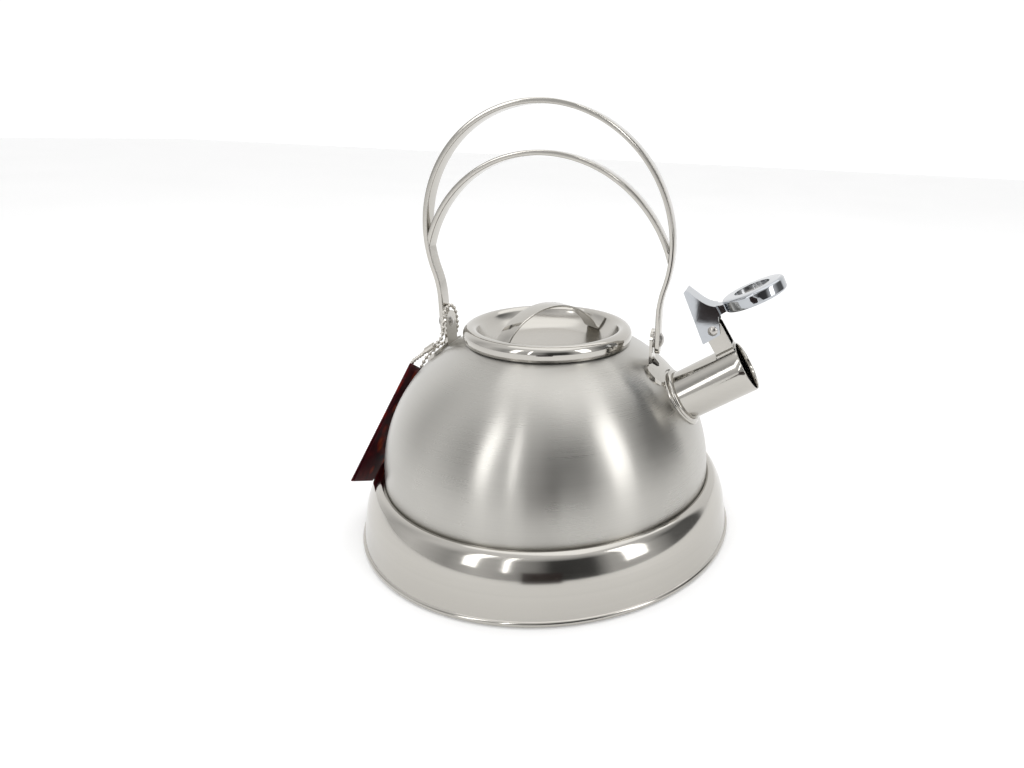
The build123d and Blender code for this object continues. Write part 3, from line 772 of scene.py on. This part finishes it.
chain_grid = bead_tube(0.0, chain_long)
chain_piece = build("bead_chain", [(chain_grid, False, True)], beads_steel, "kettle", ["tag_chain"],
                    caps=end_caps(*chain_grid.shape[:2]))
clasp_piece = polished_copy("clasp", "chain_clasp", beads_steel, "kettle", 0)

# %% Tag leaves
# The two leaves are flat card, which CAD gives exactly, so they only take their finish.
leaves = [bpy.data.objects[name] for name in ("tag_front_leaf", "tag_back_leaf")]
for piece in leaves:
    piece.data.materials.clear()
    piece.data.materials.append(card)

# %% [markdown]
# ## Room and light
# Polished steel is only as good as what it mirrors. A pale floor, two tall soft boxes, a
# thin one and one overhead give it bright bands, and the room's walls are shaded darker at
# some headings to give the dark bands that make it read as metal. A low dark card in front
# darkens what the lever's flat side mirrors; the camera doesn't see it.

# %% Floor and room
floor_material, tree, shader, where = new_material(
    "pale_floor", Roughness=0.75, Base_Color=linear("f6f6f6"), Emission_Color=linear("ffffff"),
    Emission_Strength=0.16
)
fine = node(tree, "ShaderNodeTexNoise", {"Vector": where}, Scale=3.0, Detail=2.0)
tone = ramp(tree, fine.outputs[0], [(0.3, "f4f4f4"), (0.7, "f8f8f8")])
tree.links.new(tone, shader.inputs["Base Color"])


def flat_sheet(name, corners, material):
    """One four-cornered sheet, given corner by corner in metres."""
    mesh = bpy.data.meshes.new(name)
    mesh.from_pydata(corners, [], [(0, 1, 2, 3)])
    mesh.materials.append(material)
    sheet = bpy.data.objects.new(name, mesh)
    bpy.context.scene.collection.objects.link(sheet)
    return sheet


floor = flat_sheet("floor", [(-6, -6, 0), (6, -6, 0), (6, 6, 0), (-6, 6, 0)], floor_material)

world = bpy.data.worlds.new("room")
bpy.context.scene.world = world
world.use_nodes = True
world.node_tree.nodes.clear()
sky = world.node_tree
toward = node(sky, "ShaderNodeTexCoord").outputs["Generated"]
round_room = node(sky, "ShaderNodeTexGradient", {"Vector": toward}, gradient_type="RADIAL")
# Shade by heading: 0.25 is the front of the room, 0.5 the spout's side, 0.75 the back.
walls = ramp(sky, round_room.outputs["Fac"], [
    (0.0, 0.6), (0.06, 0.8), (0.13, 0.42), (0.18, 0.7), (0.235, 0.45), (0.275, 0.3),
    (0.3, 0.05), (0.37, 0.07), (0.4, 0.55), (0.47, 0.62), (0.52, 0.16), (0.585, 0.12),
    (0.61, 0.9), (0.7, 0.98), (0.93, 0.98), (1.0, 0.6),
])
parts = node(sky, "ShaderNodeSeparateXYZ", {0: toward})
high = ramp(sky, parts.outputs[2], [(0.0, 0.9), (0.25, 0.98), (0.7, 0.95), (1.0, 0.9)])
ceiling = node(sky, "ShaderNodeMapRange", {"Value": parts.outputs[2]}, To_Min=0.0, To_Max=1.0)
ceiling.inputs["From Min"].default_value = 0.5
ceiling.inputs["From Max"].default_value = 0.95
shade = node(sky, "ShaderNodeMix", {0: ceiling.outputs[0], 6: walls, 7: high}, data_type="RGBA")
air = node(sky, "ShaderNodeBackground", {0: shade.outputs[2]}, Strength=1.1)
node(sky, "ShaderNodeOutputWorld", {0: air.outputs[0]})


def soft_box(name, at, look, size, power, colour="ffffff"):
    """A rectangular light that faces a point."""
    data = bpy.data.lights.new(name, "AREA")
    data.shape = "RECTANGLE"
    data.size, data.size_y = size
    data.energy = power
    data.color = linear(colour)[:3]
    light = bpy.data.objects.new(name, data)
    bpy.context.scene.collection.objects.link(light)
    at, look = np.array(at, float), np.array(look, float)
    back = (at - look) / np.linalg.norm(at - look)
    across = np.cross([0, 0, 1.0], back)
    across /= np.linalg.norm(across)
    high = np.cross(back, across)
    turn = Matrix([list(row) for row in np.array([across, high, back]).T]).to_4x4()
    light.matrix_world = Matrix.Translation((at).tolist()) @ turn
    light.visible_camera = False
    return light


soft_box("key_left", (-0.6, -1.15, 0.8), (0, 0, 0.1), (0.22, 1.1), 2.0)
soft_box("thin_streak", (-0.15, -1.25, 0.75), (0, 0, 0.1), (0.05, 1.0), 0.9)
soft_box("key_right", (1.1, -0.45, 0.7), (0, 0, 0.1), (0.34, 1.0), 3.0)
soft_box("overhead", (0.1, 0.3, 1.5), (0, 0, 0), (1.6, 1.6), 5.0)

flag_material = new_material("dark_card", Roughness=0.9, Base_Color=linear("2c2220"))[0]
left, right_end, ahead, top = 0.03, 0.22, -0.5, 0.12
flag = flat_sheet("flag", [
    (left, ahead, 0), (right_end, ahead, 0), (right_end, ahead, top), (left, ahead, top)
], flag_material)
flag.visible_camera = flag.visible_shadow = flag.visible_diffuse = False

bpy.context.scene.view_settings.view_transform = "Standard"
